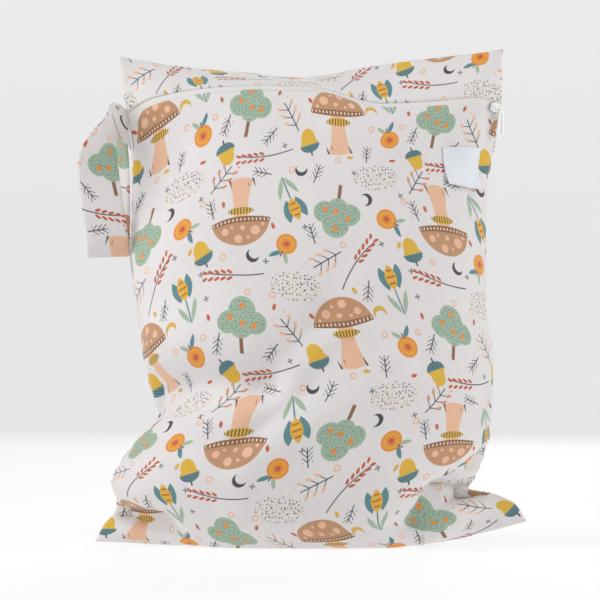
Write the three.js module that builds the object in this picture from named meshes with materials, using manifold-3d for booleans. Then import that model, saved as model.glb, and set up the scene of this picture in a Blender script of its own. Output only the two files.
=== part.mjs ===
// A filled cloth wet bag that stands on its own base: two printed cloth panels sewn
// together along the sides and the bottom, a flap over a hidden zip near the top of the
// front, a wide hanging strap caught in the left seam and a blank woven label at the right.
//
// Millimetres. +Z is up, -Y is the front and +X is the wearer-facing right hand side.
// The origin is on the floor, in the middle of the flat base.
//
// Every cloth piece is a thin wall laid on one of two curved sides, the front and the back.
// A point of a side has two flat coordinates, as on the cut cloth: "across" runs from -1 at
// the left seam to 1 at the right seam, and "up" runs from 0 at the bottom seam to 1 at the
// top seam. The tables below say where the seams and the middle of each side lie.
import * as THREE from "three";
import { mergeVertices } from "three/addons/utils/BufferGeometryUtils.js";
import Module from "manifold-3d";

// Cut and filled sizes of the bag
const BAG_WIDTH = 305; // seam to seam, laid flat
const BAG_HEIGHT = 400; // bottom seam to top seam, laid flat
const BAG_DEPTH = 140; // front to back when filled
const CLOTH = 1.5; // laminated cloth with its turned edges
const CLEARANCE = 0.3; // between pieces that are sewn or seated together

// Zip
const FLAP_HEIGHT = 38; // from the zip's crease up to the top seam
const TAPE_SHOWN = 5; // bare tape below the crease
const TAPE_THICKNESS = 0.9;
const COIL_WIDTH = 3.6;
const COIL_THICKNESS = 1.4;
const COIL_GAP = 0.5; // between the coil and the cloth in front of it
const COIL_SPAN = 0.9; // share of the width, so that it ends clear of the side seams
const LIP_RISE = 0.9; // how far the flap's folded edge stands over the tape

// Slider and its teardrop pull, whose eye hangs on the right leg of the slider's bridge
const SLIDER_FROM_SEAM = 6; // middle of the slider to the right seam
const SLIDER_LENGTH = 9;
const SLIDER_WIDTH = 6.4;
const SLIDER_THICKNESS = 2.2;
const BRIDGE_RADIUS = 0.7;
const PULL_LENGTH = 22;
const PULL_WIDTH = 6;
const PULL_THICKNESS = 1.2;
const PULL_HEAD_RADIUS = 2.1;
const PULL_RIM = 1.3; // of metal round the pull's open middle
const PULL_SLACK = 0.4; // between the pull and the bridge that it hangs on

// Hanging strap
const STRAP_WIDTH = 30;
const STRAP_DROP = 104; // from its upper attachment to the bottom of the loop
const STRAP_THICKNESS = 2;
const STRAP_SPREAD = 30; // how far the two legs stand apart at the top
const STRAP_TOP = 0.915; // up the left seam, where its upper edge is caught

// Label
const LABEL_WIDTH = 33;
const LABEL_HEIGHT = 29;
const LABEL_THICKNESS = 1;
const LABEL_FROM_SEAM = 12; // its right edge to the right seam
const LABEL_MIDDLE = 0.777; // up the right seam
const LABEL_TURN = 6; // degrees, its right end up
const LABEL_LIFT = 2; // of its free lower edge

// How finely the sides and pieces are divided
const SIDE_ACROSS = 72;
const SIDE_UP = 100;
const ROW_SAMPLES = 96;

const HALF_WIDTH = BAG_WIDTH / 2;
const HALF_DEPTH = BAG_DEPTH / 2;
const ZIP_UP = 1 - FLAP_HEIGHT / BAG_HEIGHT;

const table = (columns, rows) =>
  rows.map((row) => Object.fromEntries(row.map((value, i) => [columns[i], value])));

// The side seams. x is a share of the half width, y of the half depth, z of the height.
const SIDE_SEAMS = table(
  ["up", "leftX", "leftY", "leftZ", "rightX", "rightY", "rightZ"],
  [
    [0.0, -0.995, 0.0, 0.006, 0.985, -0.03, 0.042],
    [0.04, -0.955, 0.0, 0.035, 0.925, -0.02, 0.074],
    [0.083, -0.9, 0.03, 0.062, 0.83, 0.0, 0.09],
    [0.125, -0.895, 0.05, 0.083, 0.72, 0.05, 0.0985],
    [0.175, -0.893, 0.07, 0.112, 0.744, 0.06, 0.121],
    [0.24, -0.862, 0.08, 0.15, 0.784, 0.03, 0.158],
    [0.3, -0.78, 0.07, 0.188, 0.807, 0.0, 0.198],
    [0.3625, -0.705, 0.05, 0.225, 0.816, 0.0, 0.246],
    [0.4375, -0.752, 0.03, 0.298, 0.821, 0.0, 0.318],
    [0.54, -0.787, 0.01, 0.398, 0.789, 0.0, 0.417],
    [0.65, -0.826, 0.0, 0.505, 0.793, 0.01, 0.523],
    [0.75, -0.82, 0.0, 0.603, 0.798, 0.02, 0.62],
    [0.8375, -0.82, 0.0, 0.689, 0.835, 0.02, 0.705],
    [0.905, -0.85, 0.0, 0.755, 0.868, 0.0, 0.77],
    [1.0, -0.885, 0.03, 0.855, 0.875, 0.03, 0.868],
  ],
);

// The middle of the front and of the back. "round" is 1 where the side bellies out in a half
// ellipse, and 2 where it closes to a flat edge; z counts from the floor, on the wall's inside.
const FRONT_MIDDLE = table(
  ["up", "y", "z", "round"],
  [
    [0.0, -0.2, 0.0, 2.0],
    [0.04, -0.43, 0.0, 2.0],
    [0.083, -0.64, 0.014, 1.7],
    [0.133, -0.83, 0.049, 1.3],
    [0.193, -0.94, 0.105, 1.1],
    [0.253, -0.985, 0.166, 1.0],
    [0.315, -1.0, 0.229, 1.0],
    [0.39, -1.0, 0.304, 1.0],
    [0.49, -0.97, 0.404, 1.0],
    [0.6, -0.87, 0.514, 1.0],
    [0.7, -0.715, 0.609, 1.2],
    [0.788, -0.515, 0.69, 1.6],
    [0.905, -0.2, 0.794, 1.8],
    [1.0, 0.34, 0.82, 1.6],
  ],
);
const BACK_MIDDLE = table(
  ["up", "y", "z", "round"],
  [
    [0.0, -0.2, 0.0, 2.0],
    [0.125, 0.51, 0.0, 1.7],
    [0.165, 0.7, 0.019, 1.35],
    [0.213, 0.87, 0.056, 1.15],
    [0.273, 0.97, 0.115, 1.0],
    [0.4, 1.0, 0.241, 1.0],
    [0.475, 1.0, 0.316, 1.0],
    [0.575, 0.98, 0.416, 1.0],
    [0.685, 0.89, 0.525, 1.0],
    [0.785, 0.76, 0.62, 1.1],
    [0.873, 0.63, 0.705, 1.3],
    [1.0, 0.34, 0.82, 1.6],
  ],
);

// The zip's crease and the top seam wave as the empty flap leans back over the filling.
// Their ends are the side seams.
const TOP_WAVES = table(
  ["across", "zipY", "zipZ", "topY", "topZ"],
  [
    [-0.85, -0.13, 0.779, 0.14, 0.8475],
    [-0.6, -0.17, 0.794, 0.27, 0.836],
    [-0.3, -0.19, 0.8, 0.36, 0.827],
    [-0.05, -0.21, 0.798, 0.36, 0.819],
    [0.1, -0.26, 0.788, 0.3, 0.826],
    [0.22, -0.31, 0.775, 0.2, 0.834],
    [0.35, -0.31, 0.768, 0.1, 0.841],
    [0.6, -0.26, 0.772, 0.0, 0.851],
    [0.87, -0.19, 0.78, -0.01, 0.861],
  ],
);
const WAVE_START = { front: 0.72, back: 0.8 }; // up, where the waves begin

// Folds, each a line on the cloth. Depth and width are shares of the half depth, and a
// negative depth is a swelling. "crease" sharpens the middle of the fold.
const FOLDS = {
  front: table(
    ["fromAcross", "fromUp", "toAcross", "toUp", "width", "depth"],
    [
      [-0.96, 0.09, -0.68, 0.105, 0.12, 0.115],
      [-0.7, 0.115, -0.4, 0.15, 0.22, 0.05],
      [-0.95, 0.175, -0.75, 0.165, 0.2, -0.055],
      [0.96, 0.125, 0.66, 0.17, 0.14, 0.15],
      [0.7, 0.16, 0.52, 0.1, 0.17, 0.08],
      [0.95, 0.24, 0.78, 0.21, 0.15, 0.08],
      [0.8, 0.1, 0.6, 0.06, 0.2, -0.03],
      [-0.96, 0.37, -0.72, 0.38, 0.25, 0.05],
      [-0.97, 0.87, -0.7, 0.8, 0.16, 0.035],
      [-0.97, 0.82, -0.75, 0.72, 0.16, 0.03],
      [0.97, 0.88, 0.72, 0.82, 0.16, 0.03],
      [0.1, 0.87, 0.45, 0.8, 0.25, -0.03],
    ],
  ),
  back: table(
    ["fromAcross", "fromUp", "toAcross", "toUp", "width", "depth"],
    [
      [-0.96, 0.1, -0.62, 0.15, 0.15, 0.12],
      [0.96, 0.12, 0.6, 0.18, 0.15, 0.12],
      [-0.95, 0.36, -0.66, 0.34, 0.22, 0.06],
      [-0.4, 0.93, -0.15, 0.74, 0.25, 0.05],
      [0.35, 0.92, 0.5, 0.72, 0.25, 0.05],
    ],
  ),
};

// The strap, from its front end in the seam, down the front leg, round the bottom and up the
// back leg. x and y are shares of the strap's width and spread, and drop is a share of its
// drop, for the edge that lies next to the bag, measured from the lower attachment. The other
// edge is a strap's width away, turned from -X towards -Y and tilted up by these degrees.
const STRAP_ROUTE = table(
  ["x", "y", "drop", "turn", "tilt"],
  [
    [-0.17, -0.05, -0.07, 62, 56],
    [-0.3, -0.12, -0.08, 74, 27],
    [-0.31, -0.3, 0.02, 48, 18],
    [-0.27, -0.48, 0.13, 20, 14],
    [-0.2, -0.57, 0.26, 5, 9],
    [-0.14, -0.56, 0.39, 0, 7],
    [-0.06, -0.48, 0.53, 0, 3],
    [-0.02, -0.4, 0.65, 0, -1],
    [-0.01, -0.27, 0.71, 0, -2],
    [-0.01, -0.14, 0.65, 0, -1],
    [-0.02, -0.04, 0.53, -12, 2],
    [-0.02, 0.04, 0.39, -26, 4],
    [-0.03, 0.1, 0.25, -38, 9],
    [-0.05, 0.16, 0.1, -50, 18],
    [-0.09, 0.17, -0.03, -60, 30],
    [-0.1, 0.1, -0.05, -50, 60],
  ],
);

// A smooth curve through a table's values that never swings past them.
function curveThrough(at, values) {
  const count = at.length;
  const slopes = [];
  for (let i = 0; i < count - 1; i++) {
    slopes.push((values[i + 1] - values[i]) / (at[i + 1] - at[i]));
  }
  const tangents = at.map((_, i) => {
    if (i === 0) return slopes[0];
    if (i === count - 1) return slopes[count - 2];
    const before = slopes[i - 1];
    const after = slopes[i];
    return before * after <= 0 ? 0 : (2 * before * after) / (before + after);
  });
  return (t) => {
    let i = 0;
    while (i < count - 2 && t > at[i + 1]) i++;
    const step = at[i + 1] - at[i];
    const f = THREE.MathUtils.clamp((t - at[i]) / step, 0, 1);
    const g = 1 - f;
    return (
      values[i] * (1 + 2 * f) * g * g +
      values[i + 1] * (3 - 2 * f) * f * f +
      step * f * g * (tangents[i] * g - tangents[i + 1] * f)
    );
  };
}

const columnCurve = (rows, key, column) =>
  curveThrough(
    rows.map((row) => row[key]),
    rows.map((row) => row[column]),
  );

const seamCurves = Object.fromEntries(
  ["leftX", "leftY", "leftZ", "rightX", "rightY", "rightZ"].map((column) => [
    column,
    columnCurve(SIDE_SEAMS, "up", column),
  ]),
);

function seamPoint(end, up) {
  return new THREE.Vector3(
    seamCurves[end + "X"](up) * HALF_WIDTH,
    seamCurves[end + "Y"](up) * HALF_DEPTH,
    seamCurves[end + "Z"](up) * BAG_HEIGHT,
  );
}

// A curve of y or z across the whole width, whose ends are the side seams.
function waveAcross(column, up, endValue) {
  const inner = TOP_WAVES.map((row) => row[column]);
  return curveThrough(
    [-1, ...TOP_WAVES.map((row) => row.across), 1],
    [endValue("left", up), ...inner, endValue("right", up)],
  );
}
const endY = (end, up) => seamCurves[end + "Y"](up);
const endZ = (end, up) => seamCurves[end + "Z"](up);
const zipWave = {
  y: waveAcross("zipY", ZIP_UP, endY),
  z: waveAcross("zipZ", ZIP_UP, endZ),
};
const topWave = { y: waveAcross("topY", 1, endY), z: waveAcross("topZ", 1, endZ) };

// How much of the seams' height a row takes on: none in its flat middle, all at its ends.
const FLAT_MIDDLE = 0.4;
const END_BEND = 1.7;
const endShare = (e) => Math.max(0, (e - FLAT_MIDDLE) / (1 - FLAT_MIDDLE)) ** END_BEND;

// One row of a side, as points evenly spaced along the cloth.
function rowPoints(middle, up, count) {
  const left = seamPoint("left", up);
  const right = seamPoint("right", up);
  const middleY = middle.y(up) * HALF_DEPTH;
  const middleZ = Math.max(CLOTH, middle.z(up) * BAG_HEIGHT);
  const round = middle.round(up);
  const samples = [];
  for (let i = 0; i <= ROW_SAMPLES; i++) {
    const angle = (i / ROW_SAMPLES - 0.5) * Math.PI;
    const e = Math.sin(angle);
    const point = left.clone().lerp(right, (1 + e) / 2);
    const belly = Math.max(0, Math.cos(angle)) ** round;
    point.y += (middleY - point.y) * belly;
    point.z =
      middleZ +
      (left.z - middleZ) * endShare(-e) +
      (right.z - middleZ) * endShare(e);
    samples.push(point);
  }
  const along = [0];
  for (let i = 1; i <= ROW_SAMPLES; i++) {
    along.push(along[i - 1] + samples[i].distanceTo(samples[i - 1]));
  }
  const points = [];
  let k = 0;
  for (let i = 0; i <= count; i++) {
    const wanted = (along[ROW_SAMPLES] * i) / count;
    while (k < ROW_SAMPLES - 1 && along[k + 1] < wanted) k++;
    const share = (wanted - along[k]) / (along[k + 1] - along[k]);
    points.push(samples[k].clone().lerp(samples[k + 1], Math.min(1, share)));
  }
  return points;
}

const ramp = (t, from, to) => THREE.MathUtils.smoothstep(t, from, to);

// How deep the folds press into the cloth at a point of its flat cut, in millimetres.
function foldDepth(folds, across, up) {
  let depth = 0;
  for (const fold of folds) {
    const from = new THREE.Vector2(fold.fromAcross * HALF_WIDTH, fold.fromUp * BAG_HEIGHT);
    const to = new THREE.Vector2(fold.toAcross * HALF_WIDTH, fold.toUp * BAG_HEIGHT);
    const here = new THREE.Vector2(across * HALF_WIDTH, up * BAG_HEIGHT);
    const line = to.clone().sub(from);
    const share = here.clone().sub(from).dot(line) / line.lengthSq();
    const nearest = from.addScaledVector(line, THREE.MathUtils.clamp(share, 0, 1));
    const away = here.distanceTo(nearest) / (fold.width * HALF_DEPTH);
    depth += fold.depth * HALF_DEPTH * Math.exp(-away * away);
  }
  const edge = Math.min(1 - Math.abs(across), up, 1 - up);
  return depth * ramp(edge, 0, 0.04);
}

// One side of the bag: the inner face of its cloth wall, as a fine grid.
class Side {
  constructor(name, middleRows, outward) {
    this.outward = outward;
    const middle = {
      y: columnCurve(middleRows, "up", "y"),
      z: columnCurve(middleRows, "up", "z"),
      round: columnCurve(middleRows, "up", "round"),
    };
    const flat = [];
    for (let j = 0; j <= SIDE_UP; j++) {
      flat.push(rowPoints(middle, j / SIDE_UP, SIDE_ACROSS));
    }
    this.points = flat;
    this.points = this.mapped((point, across, up) => this.waved(point, name, across, up, middle));
    this.normals = this.mapped((_, across, up) => this.slopeNormal(across, up));
    this.points = this.mapped((point, across, up) =>
      point.addScaledVector(this.normalAt(across, up), -foldDepth(FOLDS[name], across, up)),
    );
    this.normals = this.mapped((_, across, up) => this.slopeNormal(across, up));
    const apart = (outward * CLEARANCE) / 2;
    this.points.flat().forEach((point) => (point.y += apart));
  }

  mapped(change) {
    return this.points.map((row, j) =>
      row.map((point, i) => change(point.clone(), (2 * i) / SIDE_ACROSS - 1, j / SIDE_UP)),
    );
  }

  // Moves a point of the upper bag so that the zip's crease and the top seam wave.
  waved(point, name, across, up, middle) {
    const isFront = name === "front";
    const zipShare = isFront
      ? Math.min(ramp(up, WAVE_START.front, ZIP_UP), (1 - up) / (1 - ZIP_UP))
      : 0;
    const topShare = isFront
      ? Math.max(0, (up - ZIP_UP) / (1 - ZIP_UP))
      : ramp(up, WAVE_START.back, 1);
    const add = (wave, at, share) => {
      if (share <= 0) return;
      const base = this.baseAt(middle, at, across);
      point.y += share * (wave.y(across) * HALF_DEPTH - base.y);
      point.z += share * (wave.z(across) * BAG_HEIGHT - base.z);
    };
    add(zipWave, ZIP_UP, zipShare);
    add(topWave, 1, topShare);
    return point;
  }

  baseAt(middle, up, across) {
    this.baseRows ??= new Map();
    if (!this.baseRows.has(up)) this.baseRows.set(up, rowPoints(middle, up, SIDE_ACROSS));
    return this.baseRows.get(up)[Math.round(((across + 1) / 2) * SIDE_ACROSS)];
  }

  sampled(grid, across, up) {
    const x = THREE.MathUtils.clamp(((across + 1) / 2) * SIDE_ACROSS, 0, SIDE_ACROSS);
    const y = THREE.MathUtils.clamp(up * SIDE_UP, 0, SIDE_UP);
    const i = Math.min(SIDE_ACROSS - 1, Math.floor(x));
    const j = Math.min(SIDE_UP - 1, Math.floor(y));
    const below = grid[j][i].clone().lerp(grid[j][i + 1], x - i);
    const above = grid[j + 1][i].clone().lerp(grid[j + 1][i + 1], x - i);
    return below.lerp(above, y - j);
  }

  pointAt(across, up) {
    return this.sampled(this.points, across, up);
  }

  normalAt(across, up) {
    return this.sampled(this.normals, across, up).normalize();
  }

  alongZip(across, up) {
    const step = 1 / SIDE_ACROSS;
    return this.pointAt(across + step, up).sub(this.pointAt(across - step, up)).normalize();
  }

  slopeNormal(across, up) {
    const stepAcross = 1.5 / SIDE_ACROSS;
    const stepUp = 1 / SIDE_UP;
    const clampUp = (t) => THREE.MathUtils.clamp(t, 0, 1);
    const clampAcross = (t) => THREE.MathUtils.clamp(t, -1, 1);
    const alongX = this.pointAt(clampAcross(across + stepAcross), up).sub(
      this.pointAt(clampAcross(across - stepAcross), up),
    );
    const alongZ = this.pointAt(across, clampUp(up + stepUp)).sub(
      this.pointAt(across, clampUp(up - stepUp)),
    );
    return alongX.cross(alongZ).multiplyScalar(-this.outward).normalize();
  }

  // A point that stands a distance outside the inner face, and not below the floor.
  offsetPoint(across, up, distance) {
    const point = this.pointAt(across, up).addScaledVector(this.normalAt(across, up), distance);
    point.z = Math.max(point.z, CLOTH - distance);
    return point;
  }
}

// A closed wall between two grids of points, given as functions of column and row.
function wallGeometry(columns, rows, innerAt, outerAt, reversed) {
  const positions = [];
  const index = [];
  const stride = columns + 1;
  const layer = stride * (rows + 1);
  for (const pointAt of [innerAt, outerAt]) {
    for (let j = 0; j <= rows; j++) {
      for (let i = 0; i <= columns; i++) {
        positions.push(...pointAt(i / columns, j / rows).toArray());
      }
    }
  }
  const quad = (a, b, c, d) =>
    reversed ? index.push(a, c, b, a, d, c) : index.push(a, b, c, a, c, d);
  for (let j = 0; j < rows; j++) {
    for (let i = 0; i < columns; i++) {
      const a = j * stride + i;
      const b = a + 1;
      const c = b + stride;
      const d = a + stride;
      quad(layer + a, layer + b, layer + c, layer + d);
      quad(a, d, c, b);
    }
  }
  for (let i = 0; i < columns; i++) {
    const low = i;
    const high = rows * stride + i;
    quad(low, low + 1, layer + low + 1, layer + low);
    quad(high + 1, high, layer + high, layer + high + 1);
  }
  for (let j = 0; j < rows; j++) {
    const left = j * stride;
    const right = left + columns;
    quad(left + stride, left, layer + left, layer + left + stride);
    quad(right, right + stride, layer + right + stride, layer + right);
  }
  const geometry = new THREE.BufferGeometry();
  geometry.setAttribute("position", new THREE.Float32BufferAttribute(positions, 3));
  geometry.setIndex(index);
  geometry.computeVertexNormals();
  return geometry;
}

// A piece of cloth laid on a side, between two offsets from the wall's inner face. The
// offsets may be functions of the piece's own column and row shares.
function clothPiece(side, area, columns, rows, inner, outer) {
  const at = (offset) => (column, row) => {
    const across = THREE.MathUtils.lerp(area.left, area.right, column);
    const up = THREE.MathUtils.lerp(area.bottom, area.top, row);
    const distance = typeof offset === "function" ? offset(column, row) : offset;
    return side.offsetPoint(across, up, distance);
  };
  return wallGeometry(columns, rows, at(inner), at(outer), side.outward > 0);
}

// Joins closed geometries into one solid.
const wasm = await Module();
wasm.setup();
function joined(geometries) {
  const solids = geometries.map((geometry) => {
    const bare = geometry.clone();
    bare.deleteAttribute("normal");
    bare.deleteAttribute("uv");
    const merged = mergeVertices(bare, 1e-4);
    return new wasm.Manifold(
      new wasm.Mesh({
        numProp: 3,
        vertProperties: merged.attributes.position.array,
        triVerts: new Uint32Array(merged.index.array),
      }),
    );
  });
  const mesh = solids.reduce((all, solid) => all.add(solid)).getMesh();
  const geometry = new THREE.BufferGeometry();
  geometry.setAttribute("position", new THREE.BufferAttribute(mesh.vertProperties, 3));
  geometry.setIndex(new THREE.BufferAttribute(mesh.triVerts, 1));
  geometry.computeVertexNormals();
  return geometry;
}

const clothWhite = new THREE.MeshStandardMaterial({ color: 0xe9e4e4, roughness: 0.8, side: 2 });
const tapeWhite = new THREE.MeshStandardMaterial({ color: 0xf1efec, roughness: 0.7 });
const enamelWhite = new THREE.MeshStandardMaterial({ color: 0xf4f3ef, roughness: 0.35 });
const satinBlue = new THREE.MeshStandardMaterial({ color: 0xe3e9f2, roughness: 0.45 });

const bag = new THREE.Group();
function addPiece(name, geometry, material, parent = bag) {
  const mesh = new THREE.Mesh(geometry, material);
  mesh.name = name;
  parent.add(mesh);
  return mesh;
}

const front = new Side("front", FRONT_MIDDLE, -1);
const back = new Side("back", BACK_MIDDLE, 1);
const flatShare = (millimetres) => millimetres / BAG_HEIGHT;

// Cloth panels
const wholeWidth = { left: -1, right: 1 };
const frontTop = ZIP_UP - flatShare(TAPE_SHOWN);
addPiece(
  "front_panel",
  clothPiece(front, { ...wholeWidth, bottom: 0, top: frontTop }, 34, 32, 0, CLOTH),
  clothWhite,
);
addPiece(
  "back_panel",
  clothPiece(back, { ...wholeWidth, bottom: 0, top: 1 }, 26, 28, 0, CLOTH),
  clothWhite,
);

// The flap above the zip. Its lower edge is folded under, so it stands up a little.
const flapFrom = ZIP_UP + flatShare(CLEARANCE);
const lip = (row) => LIP_RISE * Math.max(0, 1 - row * 4) ** 2;
addPiece(
  "top_flap",
  clothPiece(
    front,
    { ...wholeWidth, bottom: flapFrom, top: 1 },
    34,
    6,
    (_, row) => lip(row),
    (_, row) => CLOTH + lip(row),
  ),
  clothWhite,
);

// Zip tape, in line with the cloth, and the closed coil behind the crease
addPiece(
  "zip_tape",
  clothPiece(
    front,
    { ...wholeWidth, bottom: frontTop + flatShare(CLEARANCE), top: ZIP_UP },
    34,
    1,
    0,
    TAPE_THICKNESS,
  ),
  tapeWhite,
);
addPiece(
  "zip_coil",
  clothPiece(
    front,
    {
      left: -COIL_SPAN,
      right: COIL_SPAN,
      bottom: ZIP_UP - flatShare(COIL_WIDTH / 2),
      top: ZIP_UP + flatShare(COIL_WIDTH / 2),
    },
    68,
    1,
    -COIL_GAP - COIL_THICKNESS,
    -COIL_GAP,
  ),
  tapeWhite,
);

// The slider lies on the tape at the zip's right end. Its bridge is a round wire bent over
// it lengthwise: two legs and a bar.
function roundedPlate(length, width, radius) {
  const x = length / 2 - radius;
  const y = width / 2 - radius;
  const shape = new THREE.Shape();
  shape.absarc(x, y, radius, 0, Math.PI / 2);
  shape.absarc(-x, y, radius, Math.PI / 2, Math.PI);
  shape.absarc(-x, -y, radius, Math.PI, 1.5 * Math.PI);
  shape.absarc(x, -y, radius, 1.5 * Math.PI, 2 * Math.PI);
  return shape;
}
const legReach = SLIDER_LENGTH / 2 - BRIDGE_RADIUS - 0.3;
const barHeight = SLIDER_THICKNESS + PULL_THICKNESS + 2 * PULL_SLACK + BRIDGE_RADIUS;
function sliderGeometry() {
  const plate = new THREE.ExtrudeGeometry(
    roundedPlate(SLIDER_LENGTH, SLIDER_WIDTH, SLIDER_WIDTH * 0.3),
    { depth: SLIDER_THICKNESS, bevelEnabled: false, curveSegments: 4 },
  );
  const wire = (length) => new THREE.CylinderGeometry(BRIDGE_RADIUS, BRIDGE_RADIUS, length, 12);
  const legLength = barHeight - SLIDER_THICKNESS / 2;
  const legs = [-1, 1].map((end) =>
    wire(legLength)
      .rotateX(Math.PI / 2)
      .translate(end * legReach, 0, barHeight - legLength / 2),
  );
  const bar = wire(2 * legReach).rotateZ(Math.PI / 2).translate(0, 0, barHeight);
  const elbows = [-1, 1].map((end) =>
    new THREE.SphereGeometry(BRIDGE_RADIUS, 12, 8).translate(end * legReach, 0, barHeight),
  );
  return joined([plate, ...legs, bar, ...elbows]);
}

// The pull is a flat teardrop with an open middle and a round eye
function pullGeometry() {
  const endRadius = PULL_WIDTH / 2;
  const drop = PULL_LENGTH - PULL_HEAD_RADIUS - endRadius;
  const teardrop = (headRadius, bottomRadius, top) => {
    const lean = Math.asin((bottomRadius - headRadius) / (drop + top));
    const shape = new THREE.Shape();
    shape.absarc(0, top, headRadius, -lean, Math.PI + lean);
    shape.absarc(0, -drop, bottomRadius, Math.PI + lean, 2 * Math.PI - lean);
    return shape;
  };
  const shape = teardrop(PULL_HEAD_RADIUS, endRadius, 0);
  const eye = new THREE.Path();
  eye.absarc(0, 0, BRIDGE_RADIUS + PULL_SLACK, 0, 2 * Math.PI);
  const middleTop = -PULL_HEAD_RADIUS - PULL_RIM;
  shape.holes.push(eye, teardrop(PULL_RIM * 0.4, endRadius - PULL_RIM, middleTop));
  return new THREE.ExtrudeGeometry(shape, {
    depth: PULL_THICKNESS,
    bevelEnabled: false,
    curveSegments: 10,
  });
}

const sliderAcross = 1 - SLIDER_FROM_SEAM / HALF_WIDTH;
const zipAlong = front.alongZip(sliderAcross, ZIP_UP);
const zipOut = front.normalAt(sliderAcross, ZIP_UP);
const zipUpward = zipOut.clone().cross(zipAlong).normalize();
zipOut.crossVectors(zipAlong, zipUpward).normalize();
const sliderUp = ZIP_UP - flatShare(SLIDER_WIDTH / 2 + CLEARANCE);
const slider = new THREE.Group();
slider.applyMatrix4(new THREE.Matrix4().makeBasis(zipAlong, zipUpward, zipOut));
slider.position.copy(front.pointAt(sliderAcross, sliderUp));

// The cloth under the slider is curved, so the slider rests on the highest point below it.
function highestUnder(length, width) {
  const steps = [-1, -0.5, 0, 0.5, 1];
  const heights = steps.flatMap((x) =>
    steps.map((y) => {
      const across = Math.min(1, sliderAcross + (x * length) / 2 / HALF_WIDTH);
      const up = sliderUp + flatShare((y * width) / 2);
      const cloth = front.offsetPoint(across, up, CLOTH);
      return cloth.sub(slider.position).dot(zipOut);
    }),
  );
  return Math.max(...heights);
}
const seat = highestUnder(SLIDER_LENGTH, SLIDER_WIDTH) + CLEARANCE;
slider.position.addScaledVector(zipOut, seat);
bag.add(slider);
addPiece("zip_slider", sliderGeometry(), enamelWhite, slider);

// It hangs straight down in front of the slider, turning on the bridge's right leg
const pull = addPiece("zip_pull", joined([pullGeometry()]), enamelWhite, slider);
pull.position.set(legReach, 0, SLIDER_THICKNESS + PULL_SLACK);
pull.rotation.z = Math.atan2(-zipAlong.z, zipUpward.z);

// The strap is one band whose two ends are caught in the left seam, one behind the other
const strapBottom = STRAP_TOP - flatShare(STRAP_WIDTH);
function strapStations() {
  const out = new THREE.Vector3(-CLOTH - CLEARANCE, 0, 0);
  const lower = seamPoint("left", strapBottom).add(out);
  const upper = seamPoint("left", STRAP_TOP).add(out);
  const end = (layer) => {
    const shift = new THREE.Vector3(0, (layer * (STRAP_THICKNESS + CLEARANCE)) / 2, 0);
    const near = lower.clone().add(shift);
    const far = upper.clone().add(shift).sub(near).setLength(STRAP_WIDTH);
    return { near, far };
  };
  const route = STRAP_ROUTE.map((row) => {
    const turn = THREE.MathUtils.degToRad(row.turn);
    const tilt = THREE.MathUtils.degToRad(row.tilt);
    return {
      near: new THREE.Vector3(
        lower.x + row.x * STRAP_WIDTH,
        lower.y + row.y * STRAP_SPREAD,
        lower.z - row.drop * STRAP_DROP,
      ),
      far: new THREE.Vector3(
        -Math.cos(turn) * Math.cos(tilt),
        -Math.sin(turn) * Math.cos(tilt),
        Math.sin(tilt),
      ).multiplyScalar(STRAP_WIDTH),
    };
  });
  return [end(-1), ...route, end(1)];
}
function strapGeometry(steps, columns) {
  const stations = strapStations();
  const nearEdge = new THREE.CatmullRomCurve3(stations.map((s) => s.near));
  const toFar = new THREE.CatmullRomCurve3(stations.map((s) => s.far));
  const middleAt = (column, row) =>
    nearEdge
      .getPoint(row)
      .addScaledVector(toFar.getPoint(row).setLength(STRAP_WIDTH), column);
  const normalAt = (column, row) => {
    const step = 0.25 / steps;
    const along = middleAt(column, Math.min(1, row + step)).sub(
      middleAt(column, Math.max(0, row - step)),
    );
    return toFar.getPoint(row).cross(along).normalize();
  };
  const face = (side) => (column, row) =>
    middleAt(column, row).addScaledVector(normalAt(column, row), (side * STRAP_THICKNESS) / 2);
  return wallGeometry(columns, steps, face(-1), face(1), false);
}
addPiece("hang_strap", strapGeometry(52, 2), clothWhite);

// The label lies on the front beside the right seam; its lower edge lifts off
const labelAcross = 1 - (LABEL_FROM_SEAM + LABEL_WIDTH / 2) / HALF_WIDTH;
const labelTurn = THREE.MathUtils.degToRad(LABEL_TURN);
const labelGap = (column, row) =>
  CLOTH + CLEARANCE + LABEL_LIFT * (1 - row) ** 3 * (1 - 0.6 * column);
const labelPoint = (thickness) => (column, row) => {
  const x = (column - 0.5) * LABEL_WIDTH;
  const y = (row - 0.5) * LABEL_HEIGHT;
  const across = labelAcross + (x * Math.cos(labelTurn) - y * Math.sin(labelTurn)) / HALF_WIDTH;
  const up = LABEL_MIDDLE + flatShare(x * Math.sin(labelTurn) + y * Math.cos(labelTurn));
  return front.offsetPoint(across, up, labelGap(column, row) + thickness);
};
addPiece("label", wallGeometry(6, 6, labelPoint(0), labelPoint(LABEL_THICKNESS), false), satinBlue);

export default bag;
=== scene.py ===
# %% [markdown]
# # A cloth wet bag
# The bag is cut from one printed knit with a waterproof film on its back. Two panels are sewn
# together round three sides, a zip with a flap crosses the top of the front, a wide strap is
# caught in the left seam and a small satin label sits near the right one. The frame holds its
# solids at their true size. This lesson lays finer cloth over them, prints it and lights it.

# %% Load the frame
import math

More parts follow.
